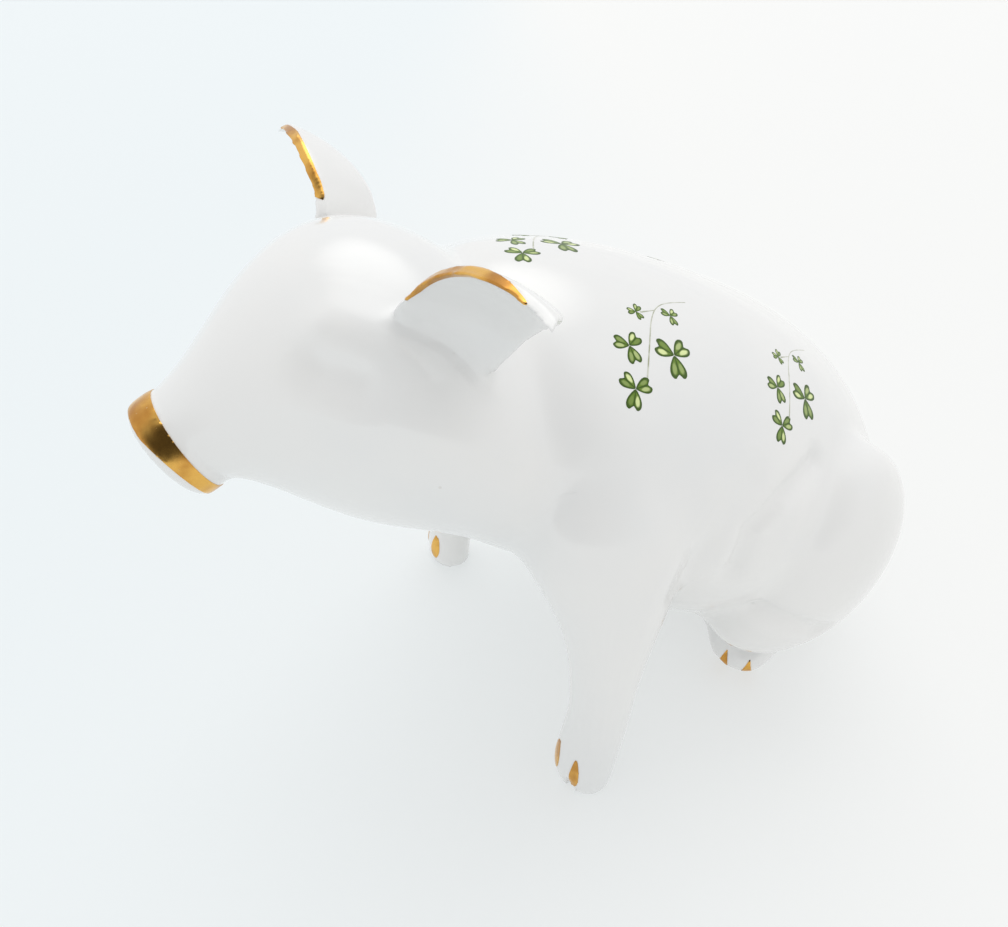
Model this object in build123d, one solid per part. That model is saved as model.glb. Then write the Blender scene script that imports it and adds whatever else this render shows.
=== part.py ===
from build123d import *

import os
from math import atan2, cos, degrees, radians, sin, tau

# Sitting porcelain pig figurine. It is slip-cast in pieces that are luted together, glazed and gilded.
# Lengths are in millimetres and angles in degrees. The pig faces -Y, its left side is +X, and it sits
# on the plane z = 0. While it is modelled, y = 0 lies at its front feet; at the end it is moved so that
# the origin is the middle of its footprint. Right-hand pieces are mirrored from the left-hand ones.

# Casting and gilding
wall = 3.0
gilding_thickness = 0.3
overrun = 5.0
outline_points = 10
facet_tolerance = 0.1

# Neck, where the head is luted to the torso
neck_width = 52.0
neck_depth = 42.4
neck_height = 62.2
neck_ahead = 6.0
neck_egg_share = 0.06

# Torso: each row gives a section's place along the torso, down from the neck to the rump's height, and
# its lean, width, depth and egg shape. The rump closes on the end point, and its underside is flat.
torso_length = 77.0
rump_height = 3.9
torso_lean = 42.0
torso_width = 66.0
torso_depth = 56.0
torso_shares = [
    (0.156, 0.059, 0.38, 0.925, 0.860, 0.08),
    (0.377, 0.225, 0.71, 1.000, 0.980, 0.10),
    (0.610, 0.430, 0.90, 1.000, 1.020, 0.08),
    (0.780, 0.672, 1.05, 0.920, 0.920, 0.04),
    (0.890, 0.893, 1.14, 0.700, 0.660, 0.00),
    (0.955, 0.977, 1.19, 0.420, 0.390, 0.00),
]
rump_end_shares = (1.00, 0.995)
vent_diameter = 5.0
vent_share = 0.74

# Head: each row gives a section's place ahead of the neck, its rise above the snout, its pitch, and its
# width, depth and egg shape
head_length = 41.0
head_rise = 4.0
head_shares = [
    (0.17, 0.20, 0.20, 0.990, 1.060, 0.06),
    (0.38, 0.85, 0.45, 0.890, 0.980, 0.08),
    (0.58, 0.42, 0.70, 0.660, 0.815, 0.08),
    (0.76, 0.30, 0.90, 0.410, 0.540, 0.04),
]

# Snout: a flat disc, a little above the neck, with a gold band that is broad above and narrow below
snout_rise = 3.8
snout_pitch = 27.0
snout_diameter = 14.2
snout_lip = 3.6
snout_edge_share = 0.3
snout_band_share = 0.35
muzzle_share = 0.94
nostril_width = 2.2
nostril_height = 3.2
nostril_depth = 2.0
nostril_spacing = 5.2

# Ears: a leaf cut from a spherical cup, set on the side of the skull. The place is given out from the
# middle, ahead of the neck and up from its centre.
ear_length = 26.5
ear_height = 12.0
ear_thickness = 1.8
ear_cup_radius = 23.0
ear_sweep = 12.5
ear_rise = 12.5
ear_turn = 30.0
ear_place_shares = (0.60, 0.165, 0.522)
ear_rim_shares = (0.515, 0.70)
ear_heel_shares = (0.42, 0.30)
ear_tip_share = 0.30

# Front legs, as far apart as the torso's width asks and as high as the neck: each row gives a section's
# place up the leg, towards the shoulder, back, and its width and depth between those of the foot and
# those of the shoulder
front_stance_share = 0.909
front_foot_width = 10.5
front_foot_length = 9.6
front_toe_turn = 18.0
shoulder_height_share = 1.061
shoulder_inset = 10.0
shoulder_back = 4.0
shoulder_width = 22.0
shoulder_depth = 30.0
front_leg_shares = [
    (0.00, 0.00, 0.20, -0.09, -0.05),
    (0.06, 0.00, 0.14, 0.00, 0.00),
    (0.20, 0.00, 0.45, -0.01, -0.01),
    (0.38, 0.03, 0.60, 0.03, 0.04),
    (0.56, 0.17, 0.80, 0.27, 0.26),
    (0.76, 0.55, 1.00, 0.83, 0.79),
    (0.90, 0.85, 1.00, 0.83, 0.90),
    (1.00, 1.00, 1.00, 0.30, 0.58),
]

# Hind legs: a rounded haunch, folded over a long foot. The haunch's place is given out from the middle,
# along the torso and up to the neck, and its height by the neck's too. Its seam is turned into the torso.
# Each foot row gives a section's place behind the toe, its width and height.
haunch_width = 24.0
haunch_length = 35.0
haunch_height_share = 0.70
haunch_lean = -20.0
haunch_place_shares = (0.80, 0.645, 0.52)
haunch_seam_turn = 180.0
hind_stance_share = 0.667
hind_foot_width = 14.0
hind_foot_height = 14.0
hind_foot_length = 26.0
hind_toe_back = 38.0
hind_toe_turn = 10.0
hind_foot_shares = [
    (0.00, 0.40, 0.32),
    (0.06, 0.78, 0.66),
    (0.20, 1.00, 0.92),
    (0.55, 0.96, 1.00),
    (1.00, 0.80, 0.90),
]

# Trotters: two pointed gold claws on each toe, with a notch between them
claw_width = 1.8
claw_length = 5.4
claw_spacing = 4.2
claw_bottom = 0.8
toe_notch_width = 1.6
toe_notch_depth = 1.4
toe_notch_height = 4.0

# Tail: a curl of two arcs, laid on the rump at one of the torso's sections
tail_thickness = 3.6
tail_radius = 5.0
tail_tip_radius = 3.0
tail_turn = 200.0
tail_tip_turn = 120.0


def egg_face(plane, width, depth, egg_share):
    """A smooth oval on the plane, wider below its middle by the egg share."""
    angles = [tau * step / outline_points for step in range(outline_points)]
    points = [
        (width / 2 * cos(angle) * (1 - egg_share * sin(angle)), depth / 2 * sin(angle))
        for angle in angles
    ]
    return plane * make_face(Spline(*points, periodic=True))


def cross_plane(y, z, lean):
    """A plane across the pig, looking forwards, whose top leans back by the angle."""
    forward = (0, -cos(radians(lean)), sin(radians(lean)))
    return Plane(origin=(0, y, z), x_dir=(1, 0, 0), z_dir=forward)


def above(form, height):
    """What of a form lies above a height."""
    return split(form, bisect_by=Plane.XY.offset(height), keep=Keep.TOP)


def side_by_side(plane, shape, spacing, up):
    """Two copies of a flat shape, side by side on a plane."""
    return Sketch() + [plane * Pos(side * spacing / 2, up) * shape for side in (-1, 1)]


def neck_face(inset):
    """The outline that the head and the torso share, set in by the wall or not at all."""
    plane = cross_plane(-neck_ahead, neck_height, 0)
    return egg_face(plane, neck_width - 2 * inset, neck_depth - 2 * inset, neck_egg_share)


def torso_plane(along, down, lean):
    """The plane of one of the torso's sections, from its shares."""
    height = neck_height - down * (neck_height - rump_height)
    return cross_plane(along * torso_length - neck_ahead, height, lean * torso_lean)


def torso_form(inset):
    """The torso from the neck to the rump, whole, set in by the wall or not at all."""
    sections = [neck_face(inset)]
    for along, down, lean, width, depth, egg in torso_shares:
        plane = torso_plane(along, down, lean)
        sections.append(egg_face(plane, width * torso_width - 2 * inset, depth * torso_depth - 2 * inset, egg))
    along, down = rump_end_shares
    rump_end = torso_plane(along, down, 0).origin
    sections.append(Vertex(0, rump_end.Y - inset, rump_end.Z))
    return loft(sections)


def snout_plane(back):
    """The plane of the snout disc, or one that lies behind it by a distance."""
    front = cross_plane(-neck_ahead - head_length, neck_height + snout_rise, -snout_pitch)
    return front.offset(-back)


def head_form(inset):
    """The head from the neck to the back of the snout disc, set in by the wall or not at all."""
    sections = [neck_face(inset)]
    for ahead, rise, pitch, width, depth, egg in head_shares:
        y = -neck_ahead - ahead * head_length
        plane = cross_plane(y, neck_height + snout_rise + rise * head_rise, -pitch * snout_pitch)
        sections.append(egg_face(plane, width * neck_width - 2 * inset, depth * neck_depth - 2 * inset, egg))
    muzzle = muzzle_share * snout_diameter - 2 * inset
    sections.append(egg_face(snout_plane(snout_lip), muzzle, muzzle, 0))
    return loft(sections)


def snout_disc():
    """The flat snout with a rounded edge and two nostrils."""
    disc = extrude(snout_plane(snout_lip) * Circle(snout_diameter / 2), amount=snout_lip)
    front = snout_plane(0)
    rim = disc.edges().filter_by(GeomType.CIRCLE).group_by(Axis(front.origin, front.z_dir))[-1]
    disc = fillet(rim, snout_edge_share * snout_lip)
    nostril = Ellipse(nostril_width / 2, nostril_height / 2)
    return disc - extrude(side_by_side(front, nostril, nostril_spacing, 0), amount=-nostril_depth)


def snout_band():
    """The gold band round the snout, whose back edge slants forwards towards its narrow lower side."""
    back = snout_plane(snout_lip)
    length = snout_lip * (1 - snout_edge_share)
    narrowing = length * (1 - snout_band_share)
    band_diameter = snout_diameter + 2 * gilding_thickness
    ring = Circle(band_diameter / 2) - Circle(snout_diameter / 2)
    slant = degrees(atan2(narrowing, band_diameter))
    back_edge = Plane(back.offset(narrowing / 2) * Rot(-slant, 0, 0))
    return split(extrude(back * ring, amount=length), bisect_by=back_edge, keep=Keep.TOP)


def ear_plane():
    """The plane of the left ear: x runs out to its tip, y up, and z out of its hollow side."""
    out, ahead, up = ear_place_shares
    origin = (out * neck_width / 2, -neck_ahead - ahead * head_length, neck_height + up * neck_depth)
    upright = Plane(origin=origin, x_dir=(1, 0, 0), z_dir=(0, -1, 0))
    return Plane(upright * Rot(ear_turn, ear_sweep, ear_rise))


def ear_outline(grow):
    """The leaf outline of the ear, grown by a film or not at all."""
    rim_along, rim_up = ear_rim_shares
    heel_along, heel_down = ear_heel_shares
    half = ear_height / 2
    tip = (ear_length + grow, ear_tip_share * ear_height)
    rim = ThreePointArc((0, half + grow), (rim_along * ear_length, rim_up * ear_height + grow), tip)
    heel = ThreePointArc(tip, (heel_along * ear_length, -heel_down * ear_height - grow), (0, -half - grow))
    base = Line((0, -half - grow), (0, half + grow))
    return make_face([rim, heel, base])


def ear_rim():
    """The strip along the upper edge of the ear that is gilded."""
    upper_half = Pos(ear_length / 2, ear_height / 2) * Rectangle(2 * ear_length, ear_height)
    return (ear_outline(gilding_thickness) - ear_outline(0)) & upper_half


def ear_slice(outline):
    """An outline cut from the ear's spherical cup."""
    plane = ear_plane()
    middle = plane * Pos(ear_length / 2, 0, ear_cup_radius - ear_thickness / 2)
    cup = middle * (Sphere(ear_cup_radius) - Sphere(ear_cup_radius - ear_thickness))
    return cup & extrude(plane * outline, amount=ear_cup_radius / 2, both=True)


def front_leg_form(grow):
    """The left front leg from its sole into the shoulder, grown by a film or not at all."""
    sections = []
    for up, inward, back, width, depth in front_leg_shares:
        out = front_stance_share * torso_width / 2 - inward * shoulder_inset
        plane = Plane(origin=(out, back * shoulder_back, up * shoulder_height_share * neck_height))
        across = front_foot_width + width * (shoulder_width - front_foot_width) + 2 * grow
        along = front_foot_length + depth * (shoulder_depth - front_foot_length) + 2 * grow
        sections.append(egg_face(plane, across, along, 0))
    return loft(sections)


def toe_plane(out, back, turn):
    """An upright plane on the floor that faces the way a left trotter points, turned outwards."""
    ahead = (sin(radians(turn)), -cos(radians(turn)), 0)
    aside = (cos(radians(turn)), sin(radians(turn)), 0)
    return Plane(origin=(out, back, 0), x_dir=aside, z_dir=ahead)


def front_toe_plane():
    """The plane at the middle of the left front trotter."""
    _, _, back, _, _ = front_leg_shares[0]
    return toe_plane(front_stance_share * torso_width / 2, back * shoulder_back, front_toe_turn)


def hind_toe_plane():
    """The plane at the tip of the left hind trotter."""
    return toe_plane(hind_stance_share * torso_width / 2, hind_toe_back, hind_toe_turn)


def hind_foot_form(grow):
    """The left hind foot from its toe to its heel, grown by a film or not at all."""
    toe = hind_toe_plane()
    sections = []
    for back, width, height in hind_foot_shares:
        plane = Plane(toe.offset(grow - back * hind_foot_length) * Pos(0, hind_foot_height / 2))
        across = width * hind_foot_width + 2 * grow
        sections.append(egg_face(plane, across, height * hind_foot_height + 2 * grow, 0))
    return loft(sections)


def haunch_form():
    """The left haunch, an egg that leans forwards, or backwards where the angle is below zero."""
    height = haunch_height_share * neck_height
    ball = Rot(0, 0, haunch_seam_turn) * Sphere(height / 2)
    egg = scale(ball, by=(haunch_width / height, haunch_length / height, 1))
    out, along, up = haunch_place_shares
    centre = Pos(out * torso_width / 2, along * torso_length - neck_ahead, up * neck_height)
    return centre * Rot(haunch_lean, 0, 0) * egg


def claw_prisms(plane, reach):
    """Two pointed blades side by side, standing out of the plane."""
    tip = (0, claw_length)
    left = ThreePointArc((0, 0), (-claw_width / 2, claw_length / 2), tip)
    right = ThreePointArc((0, 0), (claw_width / 2, claw_length / 2), tip)
    blade = make_face([left, right])
    return extrude(side_by_side(plane, blade, claw_spacing, claw_bottom), amount=reach)


def toe_notch(front):
    """The upright notch that splits a trotter in two, cut into its foremost plane."""
    notch = Rot(90, 0, 0) * Cylinder(toe_notch_width / 2, toe_notch_height + overrun)
    inside = toe_notch_width / 2 - toe_notch_depth
    return front * Pos(0, (toe_notch_height - overrun) / 2, inside) * notch


def tail_form():
    """A curl of two arcs with a round tip, lying on the top of its section of the torso."""
    *_, tail_section, _, _ = torso_shares
    along, down, lean, _, depth, _ = tail_section
    section = torso_plane(along, down, lean)
    seat = Plane(
        origin=section.origin + section.y_dir * depth * torso_depth / 2,
        x_dir=(1, 0, 0),
        z_dir=section.y_dir,
    )
    curl = JernArc(start=(0, 0), tangent=(0, 1), radius=tail_radius, arc_size=tail_turn)
    tip = JernArc(start=curl @ 1, tangent=curl % 1, radius=tail_tip_radius, arc_size=tail_tip_turn)
    path = seat * (curl + tip)
    start = Plane(origin=path @ 0, z_dir=path % 0)
    rod = sweep(start * Circle(tail_thickness / 2), path=path)
    return rod + Pos(*(path @ 1)) * Sphere(tail_thickness / 2)


def y_reach(piece):
    """The lowest and highest y of a piece, from its facets."""
    corners, _ = piece.tessellate(facet_tolerance)
    return [min(corner.Y for corner in corners), max(corner.Y for corner in corners)]


# The two large castings: the others are cut to sit on them
torso = above(torso_form(0), 0)
head = head_form(0) + snout_disc()

# Hollow walls, open to each other at the neck, and the vent that lets the kiln's gases out
vent = Pos(0, vent_share * torso_length - neck_ahead, 0) * Cylinder(vent_diameter / 2, 2 * (wall + overrun))
body_shell = torso - above(torso_form(wall), wall) - vent
head_shell = head - head_form(wall)

front_toe = front_toe_plane()
front_leg = front_leg_form(0) - toe_notch(front_toe.offset(front_foot_length / 2))
front_film = front_leg_form(gilding_thickness) - front_leg_form(0)

hind_toe = hind_toe_plane()
hind_foot = above(hind_foot_form(0), 0) - toe_notch(hind_toe)
hind_film = hind_foot_form(gilding_thickness) - hind_foot_form(0)

pieces = {
    "body_shell": body_shell,
    "head_shell": head_shell,
    "snout_gilding": snout_band(),
    "tail": tail_form() - torso,
}

# Each left-hand form and its mirror image are cut to their own seats on the castings
left_forms = {
    "ear": ear_slice(ear_outline(0)),
    "ear_gilding": ear_slice(ear_rim()),
    "front_leg": front_leg,
    "front_claws": front_film & claw_prisms(front_toe, front_foot_length),
    "hind_leg": above(haunch_form(), 0) + hind_foot,
    "hind_claws": hind_film & claw_prisms(hind_toe.offset(-claw_length), hind_foot_length),
}
for name, form in left_forms.items():
    pieces["left_" + name] = form - torso - head
    pieces["right_" + name] = mirror(form, about=Plane.YZ) - torso - head

# The origin goes to the middle of the footprint
reaches = [y for piece in pieces.values() for y in y_reach(piece)]
footprint = Pos(0, -(min(reaches) + max(reaches)) / 2, 0)
print("length", round(max(reaches) - min(reaches), 2), "moved by", round(footprint.position.Y, 3))

os.makedirs("parts", exist_ok=True)
for name, piece in pieces.items():
    export_step(footprint * piece, os.path.join("parts", name + ".step"))
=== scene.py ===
"""Dresses the sitting porcelain pig: glazed castings, gold lustre, clover prints and a studio."""

import logging
import math
from collections.abc import Callable, Sequence
from dataclasses import dataclass, field
from enum import Enum
from typing import Any

import bmesh
import bpy
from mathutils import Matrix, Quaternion, Vector
from mathutils.bvhtree import BVHTree


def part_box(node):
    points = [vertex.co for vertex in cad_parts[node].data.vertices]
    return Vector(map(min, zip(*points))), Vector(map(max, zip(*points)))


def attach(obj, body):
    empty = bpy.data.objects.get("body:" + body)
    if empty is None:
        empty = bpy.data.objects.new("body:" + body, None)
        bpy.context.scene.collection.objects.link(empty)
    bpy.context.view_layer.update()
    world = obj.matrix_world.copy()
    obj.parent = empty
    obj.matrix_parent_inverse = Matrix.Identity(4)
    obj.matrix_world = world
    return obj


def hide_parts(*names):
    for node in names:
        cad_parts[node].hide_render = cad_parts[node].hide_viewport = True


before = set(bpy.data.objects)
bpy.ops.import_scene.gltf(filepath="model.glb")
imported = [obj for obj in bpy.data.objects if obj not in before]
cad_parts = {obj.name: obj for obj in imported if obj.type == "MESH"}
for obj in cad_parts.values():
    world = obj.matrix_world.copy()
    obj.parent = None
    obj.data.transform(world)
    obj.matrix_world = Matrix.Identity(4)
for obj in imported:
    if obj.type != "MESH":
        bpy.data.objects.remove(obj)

LOG = logging.getLogger("pig")
MM = 0.001
BODY = "root"
SKIN_NORMAL = "glaze_normal"
MERGE = 0.002 * MM
SMOOTH_STEP = 0.5
SMOOTH_BACK = -0.52
PICTURE_RIGHT = (0.446, 0.895, 0.0)
TOWARDS_CAMERA = (0.705, -0.351, 0.616)
MIRRORED_AXIS = (0.705, 0.351, -0.616)
Field = Callable[[Vector], float]
Item = bpy.types.Object
Finish = bpy.types.Material
Mesh = bmesh.types.BMesh
Socket = bpy.types.NodeSocket
Pair = tuple[float, float]
Point = tuple[float, float, float]
Colour = tuple[float, float, float, float]
Value = "Signal | float"


def ramp(value: float, low: float, high: float) -> float:
    """A smooth step from 0 at one value to 1 at another."""
    share = max(0.0, min(1.0, (value - low) / (high - low)))
    return share * share * (3.0 - 2.0 * share)


class Side(Enum):
    """The two sides of the pig, with the sign of x on each."""

    LEFT = 1
    RIGHT = -1

    def node(self, name: str) -> str:
        """The CAD node of a paired piece on this side."""
        return f"{self.name.lower()}_{name}"

    def place(self, x: float, y: float, z: float) -> Vector:
        """A point of the left side, given in millimetres, on this side in metres."""
        return Vector((self.value * x, y, z)) * MM


class Bench:
    """Operator steps that the pieces share."""

    @staticmethod
    def pick(*objects: Item) -> None:
        """Selects only these objects and makes the first one active."""
        if bpy.context.object and bpy.context.object.mode != "OBJECT":
            bpy.ops.object.mode_set(mode="OBJECT")
        bpy.ops.object.select_all(action="DESELECT")
        for item in objects:
            item.select_set(True)
        bpy.context.view_layer.objects.active = objects[0]

    @staticmethod
    def edit(item: Item) -> None:
        """Opens one object in edit mode with all of it selected."""
        Bench.pick(item)
        bpy.ops.object.mode_set(mode="EDIT")
        bpy.ops.mesh.select_all(action="SELECT")

    @staticmethod
    def done() -> None:
        """Leaves edit mode."""
        bpy.ops.object.mode_set(mode="OBJECT")

    @staticmethod
    def modify(item: Item, kind: str, **settings: Any) -> None:
        """Adds a modifier of a kind with its settings to an object and applies it."""
        modifier = item.modifiers.new(kind.lower(), kind)
        for key, value in settings.items():
            setattr(modifier, key, value)
        Bench.pick(item)
        bpy.ops.object.modifier_apply(modifier=modifier.name)

    @staticmethod
    def new(name: str, data: bpy.types.ID | None) -> Item:
        """A new object in the scene."""
        item = bpy.data.objects.new(name, data)
        bpy.context.scene.collection.objects.link(item)
        return item

    @staticmethod
    def finished(name: str, mesh: Mesh) -> Item:
        """A new object from a working mesh, which is freed."""
        data = bpy.data.meshes.new(name)
        mesh.to_mesh(data)
        mesh.free()
        return Bench.new(name, data)

    @staticmethod
    def drop(*objects: Item) -> None:
        """Deletes some objects."""
        Bench.pick(*objects)
        bpy.ops.object.delete()

    @staticmethod
    def clear(mesh: Mesh, faces: list[bmesh.types.BMFace]) -> None:
        """Deletes some faces of a working mesh and what hangs on them alone."""
        bmesh.ops.delete(mesh, geom=faces, context="FACES")

    @staticmethod
    def soften(item: Item, weights: dict[int, float], rounds: int) -> None:
        """Smooths some points of an object in rounds, each by the weight under its number."""
        group = item.vertex_groups.new(name="soft")
        for index, weight in weights.items():
            group.add([index], weight, "REPLACE")
        Bench.modify(item, "SMOOTH", factor=SMOOTH_STEP, iterations=rounds, vertex_group=group.name)
        item.vertex_groups.clear()

    @staticmethod
    def shade(item: Item, angle: float) -> None:
        """Shades an object smooth up to an angle in degrees."""
        Bench.pick(item)
        bpy.ops.object.shade_smooth_by_angle(angle=math.radians(angle))

    @staticmethod
    def casting_copy(node: str) -> Item:
        """A merged copy of a CAD node's mesh as a new object."""
        copy = Bench.new(f"{node}_copy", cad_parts[node].data.copy())
        Bench.edit(copy)
        bpy.ops.mesh.remove_doubles(threshold=MERGE)
        Bench.done()
        return copy

    @staticmethod
    def tree(item: Item) -> BVHTree:
        """A search tree over an object's faces."""
        corners = [vert.co.copy() for vert in item.data.vertices]
        return BVHTree.FromPolygons(corners, [tuple(face.vertices) for face in item.data.polygons])

    @staticmethod
    def fit_out(item: Item, finish: Finish, slot: str, node: str) -> None:
        """Gives a finished piece its material and its body, and hides the CAD node it replaces."""
        item.data.materials.clear()
        item.data.materials.append(finish)
        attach(item, BODY)
        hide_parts(node)
        LOG.info("%s: %d faces", item.name, len(item.data.polygons))


class Signal:
    """A shader value whose operators add Math nodes."""

    def __init__(self, sheet: "Sheet", socket: Socket) -> None:
        """Wraps an output socket of a sheet's node."""
        self.sheet = sheet
        self.socket = socket

    def math(self, operation: str, *others: Value) -> "Signal":
        """The result of a Math node on this value and others."""
        return self.sheet.calc(operation, self, *others)

    def __add__(self, other: Value) -> "Signal":
        """The sum."""
        return self.math("ADD", other)

    __radd__ = __add__

    def __sub__(self, other: Value) -> "Signal":
        """The difference."""
        return self.math("SUBTRACT", other)

    def __rsub__(self, other: Value) -> "Signal":
        """The difference from a number."""
        return self.sheet.calc("SUBTRACT", other, self)

    def __mul__(self, other: Value) -> "Signal":
        """The product."""
        return self.math("MULTIPLY", other)

    __rmul__ = __mul__

    def __truediv__(self, other: Value) -> "Signal":
        """The quotient."""
        return self.math("DIVIDE", other)

    def __abs__(self) -> "Signal":
        """The value without its sign."""
        return self.math("ABSOLUTE")

    def __pow__(self, other: Value) -> "Signal":
        """The power."""
        return self.math("POWER", other)

    def step(self, low: float, high: float) -> "Signal":
        """A smooth step from 0 at one value to 1 at another."""
        settings = {"interpolation_type": "SMOOTHSTEP"}
        sockets = {"Value": self, "From Min": low, "From Max": high}
        return self.sheet.signal("ShaderNodeMapRange", settings, sockets, "Result")


class Sheet:
    """The node sheet of one material or world."""

    def __init__(self, owner: Finish | bpy.types.World) -> None:
        """Clears the owner's node tree and keeps it."""
        owner.use_nodes = True
        self.tree = owner.node_tree
        self.tree.nodes.clear()

    def add(self, kind: str, settings: dict[str, Any], sockets: dict[Any, Any]) -> bpy.types.Node:
        """Adds one node.

        Args:
            kind: the node's type.
            settings: its properties, which are set first.
            sockets: values or links for its inputs, by name or number.

        Returns:
            The node.
        """
        node = self.tree.nodes.new(kind)
        for key, value in settings.items():
            setattr(node, key, value)
        for key, value in sockets.items():
            target = node.inputs[key]
            if isinstance(value, Signal):
                self.tree.links.new(value.socket, target)
            elif isinstance(value, Socket):
                self.tree.links.new(value, target)
            else:
                target.default_value = value
        return node

    def signal(
        self, kind: str, settings: dict[str, Any], sockets: dict[Any, Any], output: Any
    ) -> Signal:
        """Adds a node and wraps one of its outputs."""
        return Signal(self, self.add(kind, settings, sockets).outputs[output])

    def calc(self, operation: str, *values: Signal | float) -> Signal:
        """Adds a Math node on values and signals."""
        return self.signal("ShaderNodeMath", {"operation": operation}, dict(enumerate(values)), 0)

    def blend(self, share: Signal | float, first: Any, second: Any) -> Socket:
        """A colour between two colours or colour links."""
        sockets = {0: share, 6: first, 7: second}
        return self.add("ShaderNodeMix", {"data_type": "RGBA"}, sockets).outputs[2]

    def dot(self, vector: Socket, direction: Sequence[float]) -> Signal:
        """How far a vector goes in a direction."""
        sockets = {0: vector, 1: tuple(direction)}
        return self.signal("ShaderNodeVectorMath", {"operation": "DOT_PRODUCT"}, sockets, "Value")

    def place(self) -> Socket:
        """The surface's own Object coordinates."""
        return self.add("ShaderNodeTexCoord", {}, {}).outputs["Object"]

    def noise(self, place: Socket, scale: float, detail: float) -> Signal:
        """Soft noise over a place."""
        sockets = {"Vector": place, "Scale": scale, "Detail": detail}
        return self.signal("ShaderNodeTexNoise", {}, sockets, "Fac")

    def bump(self, height: Signal, depth: float, strength: float) -> Socket:
        """The normal of a surface that a height signal makes uneven."""
        sockets = {"Height": height, "Distance": depth, "Strength": strength}
        return self.add("ShaderNodeBump", {}, sockets).outputs["Normal"]

    def principled(self, sockets: dict[Any, Any]) -> None:
        """Ends a material's sheet in one Principled shader."""
        shader = self.add("ShaderNodeBsdfPrincipled", {}, sockets)
        self.add("ShaderNodeOutputMaterial", {}, {"Surface": shader.outputs["BSDF"]})


@dataclass(frozen=True)
class Coating:
    """A finish that draws itself on the sheet of a new material."""

    name: str

    def draw(self, sheet: Sheet) -> None:
        """Draws the finish's nodes."""
        raise NotImplementedError

    def material(self) -> Finish:
        """Builds the material."""
        material = bpy.data.materials.new(self.name)
        self.draw(Sheet(material))
        return material


@dataclass(frozen=True)
class Glaze(Coating):
    """White porcelain under a clear gloss glaze that pools a little unevenly."""

    name: str = "glazed_porcelain"
    thin: Colour = (0.82, 0.815, 0.80, 1.0)
    pooled: Colour = (0.78, 0.785, 0.78, 1.0)
    speck: Colour = (0.42, 0.37, 0.30, 1.0)
    speck_depth: float = 0.3
    cloud_scale: float = 38.0
    peel_scale: float = 260.0
    grain_scale: float = 900.0
    rare_scale: float = 95.0
    ripple: float = 0.03 * MM

    def draw(self, sheet: Sheet) -> None:
        """Draws the glaze."""
        place = sheet.place()
        cloud = sheet.noise(place, self.cloud_scale, 3.0)
        peel = sheet.noise(place, self.peel_scale, 2.0)
        grain = sheet.noise(place, self.grain_scale, 1.0)
        cells = {"Vector": place, "Scale": self.peel_scale}
        spot = sheet.signal("ShaderNodeTexVoronoi", {}, cells, "Distance")
        rare = sheet.noise(place, self.rare_scale, 1.0).step(0.66, 0.70)
        specks = (1.0 - spot.step(0.035, 0.07)) * rare
        body = sheet.blend(cloud.step(0.35, 0.75), self.thin, self.pooled)
        colour = sheet.blend(specks * self.speck_depth, body, self.speck)
        rough = 0.10 + cloud * 0.07 + grain * 0.03
        sheet.principled(
            {
                "Base Color": colour,
                "Roughness": rough,
                "IOR": 1.5,
                "Coat Weight": 0.6,
                "Coat Roughness": 0.05,
                "Normal": sheet.bump(cloud * 0.8 + peel * 0.2, self.ripple, 0.5),
            }
        )


@dataclass(frozen=True)
class GoldLustre(Coating):
    """Fired gold lustre, brushed on by hand, thin and worn in places."""

    name: str = "gold_lustre"
    bright: Colour = (0.86, 0.50, 0.12, 1.0)
    deep: Colour = (0.52, 0.24, 0.05, 1.0)
    bare: Colour = (0.66, 0.60, 0.50, 1.0)
    cloud_scale: float = 210.0
    stroke_scale: float = 320.0
    stroke_stretch: Point = (1.0, 6.0, 6.0)
    wear_scale: float = 1500.0
    wear_depth: float = 0.5

    def draw(self, sheet: Sheet) -> None:
        """Draws the gold."""
        place = sheet.place()
        cloud = sheet.noise(place, self.cloud_scale, 3.0)
        stretch = {"Vector": place, "Scale": self.stroke_stretch}
        drawn = sheet.add("ShaderNodeMapping", {}, stretch).outputs["Vector"]
        stroke = sheet.noise(drawn, self.stroke_scale, 3.0)
        wear = sheet.noise(place, self.wear_scale, 5.0).step(0.70, 0.78)
        gold = sheet.blend(cloud.step(0.35, 0.68), self.bright, self.deep)
        sheet.principled(
            {
                "Base Color": sheet.blend(wear * self.wear_depth, gold, self.bare),
                "Metallic": 1.0 - wear * self.wear_depth,
                "Roughness": 0.13 + stroke * 0.16 + wear * 0.2,
                "Normal": sheet.bump(stroke + cloud, 0.02 * MM, 0.35),
            }
        )


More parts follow.
